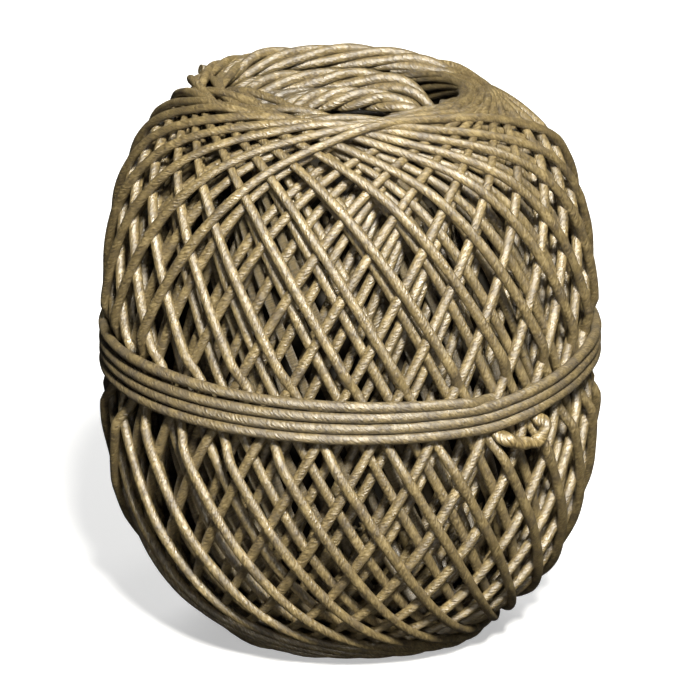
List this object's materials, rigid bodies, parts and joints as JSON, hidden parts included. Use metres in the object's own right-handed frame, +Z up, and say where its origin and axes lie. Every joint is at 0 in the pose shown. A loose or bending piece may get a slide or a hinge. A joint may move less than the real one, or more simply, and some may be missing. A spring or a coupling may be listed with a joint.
{
  "type": "ball of twine",
  "caption": "Cross-wound ball of packing twine with an open hole along its axis, tight turns round the waist and a tucked loose end.",
  "frame": {"origin": "middle of the flat ring on which the ball rests", "axes": "+Z up along the axis of the hole, -Y towards the front, +X to the right seen from the front"},
  "size_m": [0.0984, 0.0984, 0.1123],
  "materials": {
    "wound_twine": "satin film twine, light twist",
    "waist_twine": "satin film twine, drawn tight",
    "loose_twine": "satin film twine, slack and more twisted"
  },
  "bodies": {
    "root": {"wound_ball": "wound_twine", "waist_turns": "waist_twine", "loose_end": "loose_twine"}
  },
  "joints": []
}
